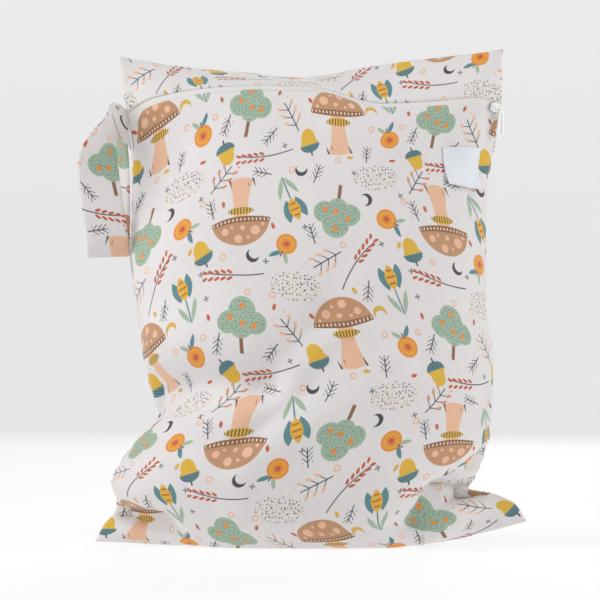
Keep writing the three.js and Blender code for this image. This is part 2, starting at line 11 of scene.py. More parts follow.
import bpy
import numpy as np
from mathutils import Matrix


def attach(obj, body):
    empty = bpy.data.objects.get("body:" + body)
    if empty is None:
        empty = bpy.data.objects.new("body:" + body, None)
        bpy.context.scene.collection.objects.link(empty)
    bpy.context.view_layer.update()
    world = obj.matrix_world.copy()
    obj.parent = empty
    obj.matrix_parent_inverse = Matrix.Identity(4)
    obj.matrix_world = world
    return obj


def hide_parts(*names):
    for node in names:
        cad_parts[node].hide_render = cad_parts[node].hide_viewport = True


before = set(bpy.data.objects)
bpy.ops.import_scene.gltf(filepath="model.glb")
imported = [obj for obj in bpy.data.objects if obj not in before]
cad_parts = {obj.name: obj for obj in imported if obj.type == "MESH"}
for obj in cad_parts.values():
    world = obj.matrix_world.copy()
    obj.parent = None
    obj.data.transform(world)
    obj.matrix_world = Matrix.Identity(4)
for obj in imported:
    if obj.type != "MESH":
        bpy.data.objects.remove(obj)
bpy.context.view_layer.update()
MM = 0.001
DECIMETRE = 100
print("nodes:", ", ".join(sorted(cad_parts)))

# %% [markdown]
# ## Camera and light
# The bag is seen square from the front with a long lens, so its sides stay nearly parallel.
# The lens follows from how much of the scene the picture is to hold at the bag's distance.

# %% Camera
VIEW_WIDTH = 0.42
VIEW_CENTRE = (-0.0084, 0.1715)
CAMERA_DISTANCE = 2.6


def add_camera():
    data = bpy.data.cameras.new("camera")
    data.sensor_width = 36
    data.lens = data.sensor_width * CAMERA_DISTANCE / VIEW_WIDTH
    camera = bpy.data.objects.new("camera", data)
    camera.location = (VIEW_CENTRE[0], -CAMERA_DISTANCE, VIEW_CENTRE[1])
    camera.rotation_euler = (math.pi / 2, 0, 0)
    bpy.context.scene.collection.objects.link(camera)
    bpy.context.scene.camera = camera
    return camera


print("lens:", round(add_camera().data.lens), "mm")

# %% [markdown]
# Lamps at both sides light the bag's flanks and leave its belly a little darker. One overhead
# and in front opens the folds, and one behind serves the views of the back. The room adds next
# to nothing.

# %% World and lamps
ROOM_STRENGTH = 0.05
LAMPS = (
    ("high_left", (-1.4, -0.4, 1.5), 1.0, 15.0),
    ("left", (-1.8, -0.6, 0.9), 1.2, 9.0),
    ("right", (1.7, -0.3, 0.7), 1.0, 13.0),
    ("over_front", (0.0, -1.1, 2.0), 1.1, 15.0),
    ("back", (0.3, 1.7, 1.0), 1.2, 12.0),
)
AIM = (0.0, 0.0, 0.16)


def add_world():
    world = bpy.data.worlds.new("room")
    world.use_nodes = True
    background = world.node_tree.nodes["Background"]
    background.inputs["Color"].default_value = (1, 1, 1, 1)
    background.inputs["Strength"].default_value = ROOM_STRENGTH
    bpy.context.scene.world = world


def add_lamp(name, place, size, power):
    data = bpy.data.lights.new(name, "AREA")
    data.size = size
    data.energy = power
    lamp = bpy.data.objects.new(name, data)
    lamp.location = place
    towards = [a - b for a, b in zip(place, AIM)]
    flat = math.hypot(towards[0], towards[1])
    lamp.rotation_euler = (math.atan2(flat, towards[2]), 0, math.atan2(towards[0], -towards[1]))
    bpy.context.scene.collection.objects.link(lamp)


add_world()
for lamp_facts in LAMPS:
    add_lamp(*lamp_facts)
bpy.context.scene.view_settings.view_transform = "Standard"
print("lamps:", len(LAMPS))

# %% [markdown]
# ## The sizes of the cloth
# The bag's cloth is described as it was cut. A point has two flat coordinates: "across" runs
# from -1 at the left seam to 1 at the right one, and "up" from 0 at the bottom seam to 1 at the
# top seam. The sizes below are those of the real bag, in millimetres.

# %% Sizes
BAG_WIDTH = 305
BAG_HEIGHT = 400
BAG_DEPTH = 140
CLOTH = 1.5
CLEARANCE = 0.3
FLAP_HEIGHT = 38
TAPE_SHOWN = 5
LIP_RISE = 0.9
STRAP_WIDTH = 30
STRAP_DROP = 104
STRAP_THICKNESS = 2
STRAP_SPREAD = 30
STRAP_TOP = 0.915
LABEL_WIDTH = 33
LABEL_HEIGHT = 29
LABEL_THICKNESS = 1
LABEL_FROM_SEAM = 12
LABEL_MIDDLE = 0.777
LABEL_TURN = 6
LABEL_LIFT = 2

HALF_WIDTH = BAG_WIDTH / 2
HALF_DEPTH = BAG_DEPTH / 2
ZIP_UP = 1 - FLAP_HEIGHT / BAG_HEIGHT


def table(columns, *rows):
    return {name: np.array(values, float) for name, values in zip(columns, zip(*rows))}


def flat_share(millimetres):
    return millimetres / BAG_HEIGHT


print("cut cloth:", BAG_WIDTH, "x", BAG_HEIGHT, "mm")

# %% [markdown]
# ## Where the seams and the middle of each side lie
# A filled bag is narrow in the middle of its height, because the filling pushes it out to the
# front and the back, and as wide as it was cut at its top edge and its bottom corners. The
# tables hold that as shares of the sizes above: x of the half width, y of the half depth and z
# of the height. "round" is 1 where a side bellies out in a half ellipse and 2 where it closes
# to a flat edge.

# %% Tables of the form
SIDE_SEAMS = table(
    ("up", "leftX", "leftY", "leftZ", "rightX", "rightY", "rightZ"),
    (0.0, -0.995, 0.0, 0.006, 0.985, -0.03, 0.042),
    (0.04, -0.955, 0.0, 0.035, 0.925, -0.02, 0.074),
    (0.083, -0.9, 0.03, 0.062, 0.83, 0.0, 0.09),
    (0.125, -0.895, 0.05, 0.083, 0.72, 0.05, 0.0985),
    (0.175, -0.893, 0.07, 0.112, 0.744, 0.06, 0.121),
    (0.24, -0.862, 0.08, 0.15, 0.784, 0.03, 0.158),
    (0.3, -0.78, 0.07, 0.188, 0.807, 0.0, 0.198),
    (0.3625, -0.705, 0.05, 0.225, 0.816, 0.0, 0.246),
    (0.4375, -0.752, 0.03, 0.298, 0.821, 0.0, 0.318),
    (0.54, -0.787, 0.01, 0.398, 0.789, 0.0, 0.417),
    (0.65, -0.826, 0.0, 0.505, 0.793, 0.01, 0.523),
    (0.75, -0.82, 0.0, 0.603, 0.798, 0.02, 0.62),
    (0.8375, -0.82, 0.0, 0.689, 0.835, 0.02, 0.705),
    (0.905, -0.85, 0.0, 0.755, 0.868, 0.0, 0.77),
    (1.0, -0.885, 0.03, 0.855, 0.875, 0.03, 0.868),
)
FRONT_MIDDLE = table(
    ("up", "y", "z", "round"),
    (0.0, -0.2, 0.0, 2.0),
    (0.04, -0.43, 0.0, 2.0),
    (0.083, -0.64, 0.014, 1.7),
    (0.133, -0.83, 0.049, 1.3),
    (0.193, -0.94, 0.105, 1.1),
    (0.253, -0.985, 0.166, 1.0),
    (0.315, -1.0, 0.229, 1.0),
    (0.39, -1.0, 0.304, 1.0),
    (0.49, -0.97, 0.404, 1.0),
    (0.6, -0.87, 0.514, 1.0),
    (0.7, -0.715, 0.609, 1.2),
    (0.788, -0.515, 0.69, 1.6),
    (0.905, -0.2, 0.794, 1.8),
    (1.0, 0.34, 0.82, 1.6),
)
BACK_MIDDLE = table(
    ("up", "y", "z", "round"),
    (0.0, -0.2, 0.0, 2.0),
    (0.125, 0.51, 0.0, 1.7),
    (0.165, 0.7, 0.019, 1.35),
    (0.213, 0.87, 0.056, 1.15),
    (0.273, 0.97, 0.115, 1.0),
    (0.4, 1.0, 0.241, 1.0),
    (0.475, 1.0, 0.316, 1.0),
    (0.575, 0.98, 0.416, 1.0),
    (0.685, 0.89, 0.525, 1.0),
    (0.785, 0.76, 0.62, 1.1),
    (0.873, 0.63, 0.705, 1.3),
    (1.0, 0.34, 0.82, 1.6),
)
TOP_WAVES = table(
    ("across", "zipY", "zipZ", "topY", "topZ"),
    (-0.85, -0.13, 0.779, 0.14, 0.8475),
    (-0.6, -0.17, 0.794, 0.27, 0.836),
    (-0.3, -0.19, 0.8, 0.36, 0.827),
    (-0.05, -0.21, 0.798, 0.36, 0.819),
    (0.1, -0.26, 0.788, 0.3, 0.826),
    (0.22, -0.31, 0.775, 0.2, 0.834),
    (0.35, -0.31, 0.768, 0.1, 0.841),
    (0.6, -0.26, 0.772, 0.0, 0.851),
    (0.87, -0.19, 0.78, -0.01, 0.861),
)
WAVE_START = {"front": 0.72, "back": 0.8}
print("rows:", len(SIDE_SEAMS["up"]), "on the seams,", len(TOP_WAVES["across"]), "along the zip")

# %% [markdown]
# Folds are lines on the cut cloth. Each presses the cloth in by a share of the half depth, or
# lets it swell where the depth is negative. The first tables are the large dents, which the
# solids have too. The fine ones are soft creases that only the finer cloth can hold.

# %% Tables of the folds
FOLD_COLUMNS = ("fromAcross", "fromUp", "toAcross", "toUp", "width", "depth")
FOLDS = {
    "front": (
        (-0.96, 0.09, -0.68, 0.105, 0.12, 0.115),
        (-0.7, 0.115, -0.4, 0.15, 0.22, 0.05),
        (-0.95, 0.175, -0.75, 0.165, 0.2, -0.055),
        (0.96, 0.125, 0.66, 0.17, 0.14, 0.15),
        (0.7, 0.16, 0.52, 0.1, 0.17, 0.08),
        (0.95, 0.24, 0.78, 0.21, 0.15, 0.08),
        (0.8, 0.1, 0.6, 0.06, 0.2, -0.03),
        (-0.96, 0.37, -0.72, 0.38, 0.25, 0.05),
        (-0.97, 0.87, -0.7, 0.8, 0.16, 0.035),
        (-0.97, 0.82, -0.75, 0.72, 0.16, 0.03),
        (0.97, 0.88, 0.72, 0.82, 0.16, 0.03),
        (0.1, 0.87, 0.45, 0.8, 0.25, -0.03),
    ),
    "back": (
        (-0.96, 0.1, -0.62, 0.15, 0.15, 0.12),
        (0.96, 0.12, 0.6, 0.18, 0.15, 0.12),
        (-0.95, 0.36, -0.66, 0.34, 0.22, 0.06),
        (-0.4, 0.93, -0.15, 0.74, 0.25, 0.05),
        (0.35, 0.92, 0.5, 0.72, 0.25, 0.05),
    ),
}
FINE_FOLDS = {
    "front": (
        (-0.97, 0.415, -0.25, 0.372, 0.19, 0.11),
        (-0.3, 0.372, 0.04, 0.49, 0.15, 0.06),
        (0.04, 0.49, 0.18, 0.6, 0.15, 0.025),
        (-0.8, 0.49, -0.3, 0.46, 0.22, -0.04),
        (-0.85, 0.33, -0.35, 0.3, 0.19, -0.045),
        (-0.25, 0.225, 0.36, 0.41, 0.17, -0.045),
        (-0.3, 0.27, 0.14, 0.445, 0.11, 0.035),
        (0.94, 0.17, 0.74, 0.145, 0.05, 0.06),
        (0.78, 0.185, 0.56, 0.1, 0.07, 0.045),
        (0.98, 0.24, 0.86, 0.2, 0.05, 0.04),
        (0.97, 0.115, 0.83, 0.125, 0.04, 0.035),
        (-0.97, 0.078, -0.82, 0.07, 0.035, 0.06),
        (-0.86, 0.072, -0.6, 0.085, 0.07, 0.025),
        (-0.98, 0.86, -0.78, 0.8, 0.06, 0.02),
        (-0.98, 0.8, -0.84, 0.7, 0.07, 0.025),
        (0.98, 0.85, 0.84, 0.72, 0.06, 0.02),
    ),
    "back": (
        (-0.9, 0.45, -0.2, 0.4, 0.2, 0.035),
        (0.2, 0.5, 0.9, 0.42, 0.2, 0.03),
        (-0.2, 0.3, 0.5, 0.42, 0.18, -0.025),
        (0.95, 0.16, 0.6, 0.12, 0.06, 0.03),
    ),
}
print("folds:", {name: len(FOLDS[name]) + len(FINE_FOLDS[name]) for name in FOLDS})

# %% [markdown]
# ## Smooth curves through short tables
# A monotone cubic passes through each value of a column and never swings past it, so a short
# table makes a calm curve. It is worked out by numpy for a whole grid at once.

# %% Curves
def curve_through(at, values):
    slopes = np.diff(values) / np.diff(at)
    before, after = slopes[:-1], slopes[1:]
    same_way = before * after > 0
    total = np.where(same_way, before + after, 1)
    inner = np.where(same_way, 2 * before * after / total, 0)
    tangents = np.concatenate(([slopes[0]], inner, [slopes[-1]]))

    def curve(t):
        i = np.clip(np.searchsorted(at, t) - 1, 0, len(at) - 2)
        step = at[i + 1] - at[i]
        f = np.clip((t - at[i]) / step, 0, 1)
        g = 1 - f
        ends = values[i] * (1 + 2 * f) * g * g + values[i + 1] * (3 - 2 * f) * f * f
        return ends + step * f * g * (tangents[i] * g - tangents[i + 1] * f)

    return curve


def ramp(t, low, high):
    share = np.clip((t - low) / (high - low), 0, 1)
    return share * share * (3 - 2 * share)


def unit(vectors):
    return vectors / np.maximum(np.linalg.norm(vectors, axis=-1, keepdims=True), 1e-12)


def seam_point(end, up):
    sizes = {"X": HALF_WIDTH, "Y": HALF_DEPTH, "Z": BAG_HEIGHT}
    curves = [curve_through(SIDE_SEAMS["up"], SIDE_SEAMS[end + axis])(up) * size
              for axis, size in sizes.items()]
    return np.stack(curves, axis=-1)


print("left seam at mid height:", seam_point("left", np.array([0.5]))[0].round(1), "mm")

# %% [markdown]
# ## One side of the bag
# A side is a grid of points over the cut cloth. Each row is a belly between the two seams,
# cut into equal lengths of cloth so that the print isn't stretched. The rows near the top are
# bent to the waves of the zip and the top seam, and last the folds are pressed in.

# %% The grid of a side
SIDE_ACROSS = 300
SIDE_UP = 400
ROW_SAMPLES = 192
FLAT_MIDDLE = 0.4
END_BEND = 1.7
SIDE_GATHER = 13
BOTTOM_GATHER = 11
GATHER_DEPTH = 0.38
SLACK_DEPTH = 0.12
FOLD_FREE_EDGE = 0.04


def end_share(e):
    return np.maximum(0, (e - FLAT_MIDDLE) / (1 - FLAT_MIDDLE)) ** END_BEND


def row_points(middle, up):
    """One row of a side, as points evenly spaced along the cloth."""
    left = seam_point("left", up)
    right = seam_point("right", up)
    middle_y = curve_through(middle["up"], middle["y"])(up) * HALF_DEPTH
    middle_z = max(CLOTH, curve_through(middle["up"], middle["z"])(up) * BAG_HEIGHT)
    roundness = curve_through(middle["up"], middle["round"])(up)
    angle = (np.arange(ROW_SAMPLES + 1) / ROW_SAMPLES - 0.5) * math.pi
    e = np.sin(angle)
    points = left + (right - left) * ((1 + e) / 2)[:, None]
    belly = np.maximum(0, np.cos(angle)) ** roundness
    points[:, 1] += (middle_y - points[:, 1]) * belly
    points[:, 2] = middle_z + (left[2] - middle_z) * end_share(-e)
    points[:, 2] += (right[2] - middle_z) * end_share(e)
    along = np.concatenate(([0], np.cumsum(np.linalg.norm(np.diff(points, axis=0), axis=1))))
    wanted = np.linspace(0, along[-1], SIDE_ACROSS + 1)
    return np.stack([np.interp(wanted, along, points[:, k]) for k in range(3)], axis=-1)


def wave_across(column, up, axis, size):
    ends = [seam_point(end, up)[axis] / size for end in ("left", "right")]
    at = np.concatenate(([-1], TOP_WAVES["across"], [1]))
    values = np.concatenate(([ends[0]], TOP_WAVES[column], [ends[1]]))
    return curve_through(at, values)


def gathers(across, up):
    """Small ripples beside the seams, in millimetres."""
    x, y = across * HALF_WIDTH, up * BAG_HEIGHT
    to_side = (1 - np.abs(across)) * HALF_WIDTH
    to_zip = np.abs(up - ZIP_UP) * BAG_HEIGHT
    side = np.sin(y / 2.3 + 2 * np.sin(y / 11)) + 0.6 * np.sin(y / 3.9 + 1.3)
    side *= np.exp(-((to_side / SIDE_GATHER) ** 2)) * ramp(to_side, 0, 3) * ramp(to_zip, 2, 14)
    bottom = np.sin(x / 3.1 + 1.5 * np.sin(x / 13))
    bottom *= np.exp(-((y / BOTTOM_GATHER) ** 2)) * ramp(y, 0, 3)
    slack = np.sin(x / 5.2 + y / 17) * np.sin(x / 23 - y / 9 + 1)
    return GATHER_DEPTH * (side + 0.6 * bottom) + SLACK_DEPTH * slack * ramp(to_zip, 1, 10)


def fold_depth(rows, across, up):
    """How deep the folds press into the cloth, in millimetres."""
    x, y = across * HALF_WIDTH, up * BAG_HEIGHT
    depth = np.zeros_like(x)
    for from_across, from_up, to_across, to_up, width, fold in rows:
        start = np.array((from_across * HALF_WIDTH, from_up * BAG_HEIGHT))
        line = np.array((to_across * HALF_WIDTH, to_up * BAG_HEIGHT)) - start
        share = np.clip(((x - start[0]) * line[0] + (y - start[1]) * line[1]) / (line @ line), 0, 1)
        away = np.hypot(x - start[0] - share * line[0], y - start[1] - share * line[1])
        depth += fold * HALF_DEPTH * np.exp(-((away / (width * HALF_DEPTH)) ** 2))
    edge = np.minimum(np.minimum(1 - np.abs(across), up), 1 - up)
    return depth * ramp(edge, 0, FOLD_FREE_EDGE)


class Side:
    """The inner face of one side's cloth, with its outward normals."""

    def __init__(self, name, middle, outward):
        self.outward = outward
        across, up = np.meshgrid(np.linspace(-1, 1, SIDE_ACROSS + 1), np.linspace(0, 1, SIDE_UP + 1))
        self.points = np.stack([row_points(middle, u) for u in up[:, 0]])
        self.wave(name, middle, across, up)
        folds = FOLDS[name] + FINE_FOLDS[name]
        depth = fold_depth(folds, across, up) + gathers(across, up)
        self.points -= self.slopes() * depth[..., None]
        self.normals = self.slopes()
        self.points[..., 1] += outward * CLEARANCE / 2

    def wave(self, name, middle, across, up):
        above_zip = (up - ZIP_UP) / (1 - ZIP_UP)
        zip_share = np.minimum(ramp(up, WAVE_START["front"], ZIP_UP), 1 - above_zip)
        if name == "back":
            zip_share = np.zeros_like(up)
        top_share = np.maximum(0, above_zip) if name == "front" else ramp(up, WAVE_START["back"], 1)
        for share, at, prefix in ((zip_share, ZIP_UP, "zip"), (top_share, 1.0, "top")):
            base = row_points(middle, at)
            for axis, letter, size in ((1, "Y", HALF_DEPTH), (2, "Z", BAG_HEIGHT)):
                curve = wave_across(prefix + letter, at, axis, size)
                moved = curve(across[0]) * size - base[:, axis]
                self.points[..., axis] += share * moved[None, :]

    def slopes(self):
        along_up, along_across = np.gradient(self.points, axis=(0, 1))
        return unit(np.cross(along_across, along_up) * -self.outward)

    def sampled(self, grid, across, up):
        x = np.clip((across + 1) / 2 * SIDE_ACROSS, 0, SIDE_ACROSS)
        y = np.clip(up * SIDE_UP, 0, SIDE_UP)
        i = np.minimum(SIDE_ACROSS - 1, x.astype(int))
        j = np.minimum(SIDE_UP - 1, y.astype(int))
        fx, fy = (x - i)[..., None], (y - j)[..., None]
        below = grid[j, i] * (1 - fx) + grid[j, i + 1] * fx
        above = grid[j + 1, i] * (1 - fx) + grid[j + 1, i + 1] * fx
        return below * (1 - fy) + above * fy

    def offset(self, across, up, distance):
        """Points that stand a distance outside the inner face, and not below the floor."""
        normals = unit(self.sampled(self.normals, across, up))
        points = self.sampled(self.points, across, up) + normals * distance[..., None]
        points[..., 2] = np.maximum(points[..., 2], CLOTH - distance)
        return points


front = Side("front", FRONT_MIDDLE, -1)
back = Side("back", BACK_MIDDLE, 1)
print("front reaches y =", front.points[..., 1].min().round(1), "mm")

# %% [markdown]
# ## From a grid to a mesh
# A wall is two grids of points, an outer and an inner one, joined round their border. Each
# mesh gets two UV maps. "cloth" holds the flat place of a point on the print in decimetres,
# and "OFBake" spreads the outer face, and beside it the inner face, over one square.

# %% Meshes
OUTER_SHARE = 0.82
BAKE_MARGIN = 0.01


def add_mesh(name, points, quads, cloth_uv, bake_uv):
    mesh = bpy.data.meshes.new(name)
    mesh.from_pydata((points * MM).tolist(), [], quads.tolist())
    for label, values in (("OFBake", bake_uv), ("cloth", cloth_uv)):
        layer = mesh.uv_layers.new(name=label)
        layer.data.foreach_set("uv", values[quads.ravel()].astype(np.float32).ravel())
    mesh.shade_smooth()
    mesh.update()
    piece = bpy.data.objects.new(name, mesh)
    bpy.context.scene.collection.objects.link(piece)
    return piece


def wall(name, outer, inner, cloth_uv, flipped):
    """A closed wall between two grids of the same size."""
    rows, columns = outer.shape[:2]
    index = np.arange(rows * columns).reshape(rows, columns)
    a, b = index[:-1, :-1].ravel(), index[:-1, 1:].ravel()
    c, d = index[1:, 1:].ravel(), index[1:, :-1].ravel()
    layer = rows * columns
    rim = np.concatenate((index[0, :], index[1:, -1], index[-1, -2::-1], index[-2:0:-1, 0]))
    following = np.roll(rim, -1)
    faces = [
        np.stack((a, b, c, d), axis=1),
        np.stack((a, d, c, b), axis=1) + layer,
        np.stack((rim + layer, following + layer, following, rim), axis=1),
    ]
    quads = np.concatenate(faces)
    if flipped:
        quads = quads[:, ::-1]
    u, v = np.meshgrid(np.linspace(0, 1, columns), np.linspace(BAKE_MARGIN, 1 - BAKE_MARGIN, rows))
    outer_u = BAKE_MARGIN + u * (OUTER_SHARE - 2 * BAKE_MARGIN)
    inner_u = OUTER_SHARE + BAKE_MARGIN + u * (1 - OUTER_SHARE - 2 * BAKE_MARGIN)
    bake = np.concatenate([np.stack((at, v), axis=-1).reshape(-1, 2) for at in (outer_u, inner_u)])
    points = np.concatenate((outer.reshape(-1, 3), inner.reshape(-1, 3)))
    flat = np.concatenate((cloth_uv.reshape(-1, 2),) * 2)
    return add_mesh(name, points, quads, flat, bake)


def print_place(across, up, shift=(0, 0), mirrored=False):
    """The place on the print in decimetres of a point on the cut cloth."""
    x = across * HALF_WIDTH * (-1 if mirrored else 1) + shift[0]
    return np.stack((x, up * BAG_HEIGHT + shift[1]), axis=-1) / DECIMETRE


def cloth_piece(name, side, span, divisions, thickness, rise=None, shift=(0, 0)):
    """A piece of cloth on a side, over left, right, bottom and top of its cut."""
    left, right, bottom, top = span
    across, up = np.meshgrid(np.linspace(left, right, divisions[0] + 1),
                             np.linspace(bottom, top, divisions[1] + 1))
    lift = np.zeros_like(across) if rise is None else rise(across, up)
    outer = side.offset(across, up, lift + thickness(across, up))
    inner = side.offset(across, up, lift)
    flat = print_place(across, up, shift, mirrored=side.outward > 0)
    return wall(name, outer, inner, flat, flipped=side.outward > 0)


# %% [markdown]
# ## The panels
# A sewn seam is turned inside, so each panel rolls in towards it over its last few
# millimetres, and two panels meet in a soft groove. The thickness of a wall falls off along a
# quarter circle there.

# %% Panels
SEAM_ROLL = 3.5
EDGE_THICKNESS = 0.15
HEM_ROLL = 1.4
HEM_THICKNESS = 0.6
TAPE_THICKNESS = 0.8
TAPE_TUCK = 1.2
FRONT_TOP = ZIP_UP - flat_share(TAPE_SHOWN)
FLAP_FROM = ZIP_UP + flat_share(CLEARANCE)
BACK_PRINT = (40, 30)


def quarter_round(share, edge):
    """From the edge's share at 0 to 1 at 1, along a quarter circle."""
    share = np.clip(share, 0, 1)
    return edge + (1 - edge) * np.sqrt(1 - (1 - share) ** 2)


def rolled(across, up, edges):
    """Cloth thickness, rolled in along the named edges."""
    distances = {
        "sides": (1 - np.abs(across)) * HALF_WIDTH,
        "bottom": up * BAG_HEIGHT,
        "top": (1 - up) * BAG_HEIGHT,
        "lip": (up - FLAP_FROM) * BAG_HEIGHT,
    }
    nearest = np.minimum.reduce([distances[edge] for edge in edges])
    return CLOTH * quarter_round(nearest / SEAM_ROLL, EDGE_THICKNESS)


def lip_rise(across, up):
    row = (up - FLAP_FROM) / (1 - FLAP_FROM)
    return LIP_RISE * np.maximum(0, 1 - row * 4) ** 2


def panel(name, side, span, divisions, edges, rise=None, shift=(0, 0)):
    top = span[3]

    def thickness(across, up):
        hem = (FRONT_TOP - up) * BAG_HEIGHT / HEM_ROLL if top == FRONT_TOP else np.ones_like(up)
        return rolled(across, up, edges) * quarter_round(hem, HEM_THICKNESS)

    piece = cloth_piece(name, side, span, divisions, thickness, rise, shift)
    print(name, len(piece.data.polygons), "faces")
    return piece


front_cloth = panel("front_cloth", front, (-1, 1, 0, FRONT_TOP), (168, 200), ("sides", "bottom"))
back_cloth = panel("back_cloth", back, (-1, 1, 0, 1), (160, 210), ("sides", "bottom", "top"),
                   shift=BACK_PRINT)
flap_cloth = panel("flap_cloth", front, (-1, 1, FLAP_FROM, 1), (168, 24), ("sides", "top", "lip"),
                   lip_rise)

# %% [markdown]
# The bare strip of zip tape shows between them. Its edges run in under the flap and the hem.

# %% Zip tape
def tape_thickness(across, up):
    return TAPE_THICKNESS * rolled(across, up, ("sides",)) / CLOTH


tape_span = (-1, 1, FRONT_TOP - flat_share(TAPE_TUCK / 4), ZIP_UP + flat_share(TAPE_TUCK))
tape_cloth = cloth_piece("tape_cloth", front, tape_span, (168, 8), tape_thickness)
print("tape shown:", TAPE_SHOWN, "mm")

# %% [markdown]
# ## The hanging strap
# The strap is a flat tube of the same cloth, caught in the left seam by both ends. It is
# described by its edge next to the bag and by the way its width points from there, which
# turns as the loop falls open.

# %% Strap
STRAP_ROUTE = (
    (-0.17, -0.05, -0.07, 62, 56),
    (-0.3, -0.12, -0.08, 74, 27),
    (-0.31, -0.3, 0.02, 48, 18),
    (-0.27, -0.48, 0.13, 20, 14),
    (-0.2, -0.57, 0.26, 5, 9),
    (-0.14, -0.56, 0.39, 0, 7),
    (-0.06, -0.48, 0.53, 0, 3),
    (-0.02, -0.4, 0.65, 0, -1),
    (-0.01, -0.27, 0.71, 0, -2),
    (-0.01, -0.14, 0.65, 0, -1),
    (-0.02, -0.04, 0.53, -12, 2),
    (-0.02, 0.04, 0.39, -26, 4),
    (-0.03, 0.1, 0.25, -38, 9),
    (-0.05, 0.16, 0.1, -50, 18),
    (-0.09, 0.17, -0.03, -60, 30),
    (-0.1, 0.1, -0.05, -50, 60),
)
STRAP_STEPS = 150
STRAP_COLUMNS = 18
STRAP_PRINT = (92, 88)
STRAP_BOTTOM = STRAP_TOP - flat_share(STRAP_WIDTH)


def smooth_path(points, shares):
    """A centripetal spline through points, read at shares of its count of spans."""
    points = np.concatenate(([2 * points[0] - points[1]], points, [2 * points[-1] - points[-2]]))
    place = shares * (len(points) - 3)
    i = np.minimum(place.astype(int), len(points) - 4)
    t = (place - i)[:, None]
    p0, p1, p2, p3 = (points[i + k] for k in range(4))
    d01 = np.maximum(np.linalg.norm(p1 - p0, axis=1, keepdims=True) ** 0.5, 1e-4)
    d12 = np.maximum(np.linalg.norm(p2 - p1, axis=1, keepdims=True) ** 0.5, 1e-4)
    d23 = np.maximum(np.linalg.norm(p3 - p2, axis=1, keepdims=True) ** 0.5, 1e-4)
    m1 = ((p1 - p0) / d01 - (p2 - p0) / (d01 + d12) + (p2 - p1) / d12) * d12
    m2 = ((p2 - p1) / d12 - (p3 - p1) / (d12 + d23) + (p3 - p2) / d23) * d12
    return ((2 * t**3 - 3 * t**2 + 1) * p1 + (t**3 - 2 * t**2 + t) * m1
            + (3 * t**2 - 2 * t**3) * p2 + (t**3 - t**2) * m2)


def strap_stations():
    out = np.array((-CLOTH - CLEARANCE, 0, 0))
    lower = seam_point("left", STRAP_BOTTOM) + out
    upper = seam_point("left", STRAP_TOP) + out
    near, far = [], []
    for layer in (-1, 1):
        shift = np.array((0, layer * (STRAP_THICKNESS + CLEARANCE) / 2, 0))
        near.append(lower + shift)
        far.append(unit(upper - lower) * STRAP_WIDTH)
    middle_near, middle_far = [], []
    for x, y, drop, turn, tilt in STRAP_ROUTE:
        turn, tilt = math.radians(turn), math.radians(tilt)
        middle_near.append(lower + (x * STRAP_WIDTH, y * STRAP_SPREAD, -drop * STRAP_DROP))
        flat = math.cos(tilt)
        way = (-math.cos(turn) * flat, -math.sin(turn) * flat, math.sin(tilt))
        middle_far.append(np.array(way) * STRAP_WIDTH)
    return (np.array([near[0], *middle_near, near[1]]), np.array([far[0], *middle_far, far[1]]))


def add_strap():
    near, far = strap_stations()
    shares = np.linspace(0, 1, STRAP_STEPS + 1)
    near_edge = smooth_path(near, shares)
    to_far = unit(smooth_path(far, shares)) * STRAP_WIDTH
    columns = np.linspace(0, 1, STRAP_COLUMNS + 1)
    middle = near_edge[:, None, :] + to_far[:, None, :] * columns[None, :, None]
    along = np.gradient(middle, axis=0)
    normals = unit(np.cross(np.broadcast_to(to_far[:, None, :], middle.shape), along))
    edge = np.minimum(columns, 1 - columns) * STRAP_WIDTH
    share = np.clip(edge / STRAP_THICKNESS, 0, 1)
    half = STRAP_THICKNESS / 2 * (0.25 + 0.75 * np.sqrt(1 - (1 - share) ** 2))
    outer = middle + normals * half[None, :, None]
    inner = middle - normals * half[None, :, None]
    centre_line = middle[:, STRAP_COLUMNS // 2]
    steps = np.linalg.norm(np.diff(centre_line, axis=0), axis=1)
    run = np.concatenate(([0], np.cumsum(steps)))
    x, y = np.meshgrid(columns * STRAP_WIDTH, run)
    flat = np.stack((x + STRAP_PRINT[0], STRAP_PRINT[1] - y), axis=-1) / DECIMETRE
    return wall("strap_cloth", outer, inner, flat, flipped=False), run[-1]


strap_cloth, strap_length = add_strap()
print("strap:", round(strap_length), "mm long")

# %% [markdown]
# ## The label
# The label is a blank piece of satin ribbon. Its lower edge has come a little off the cloth.

# %% Label
LABEL_ACROSS = 1 - (LABEL_FROM_SEAM + LABEL_WIDTH / 2) / HALF_WIDTH
LABEL_STEPS = 44


def label_face(column, row, thickness):
    turn = math.radians(LABEL_TURN)
    x, y = (column - 0.5) * LABEL_WIDTH, (row - 0.5) * LABEL_HEIGHT
    across = LABEL_ACROSS + (x * math.cos(turn) - y * math.sin(turn)) / HALF_WIDTH
    up = LABEL_MIDDLE + flat_share(x * math.sin(turn) + y * math.cos(turn))
    gap = CLOTH + CLEARANCE + LABEL_LIFT * (1 - row) ** 3 * (1 - 0.6 * column)
    return front.offset(across, up, gap + thickness)


def add_label():
    column, row = np.meshgrid(*(np.linspace(0, 1, LABEL_STEPS + 1),) * 2)
    flat = np.stack((column * LABEL_WIDTH, row * LABEL_HEIGHT), axis=-1) / DECIMETRE
    inner = label_face(column, row, np.zeros_like(row))
    outer = label_face(column, row, np.full_like(row, LABEL_THICKNESS / 2))
    return wall("label_satin", outer, inner, flat, flipped=False)


label_cloth = add_label()
print("label:", LABEL_WIDTH, "x", LABEL_HEIGHT, "mm")

# %% [markdown]
# ## Shader maths in plain expressions
# A print is drawn here as distances: a shape is wherever its distance is below zero. Such
# sums need hundreds of small nodes, so a socket is wrapped in a class on which they can be
# written as Python expressions.

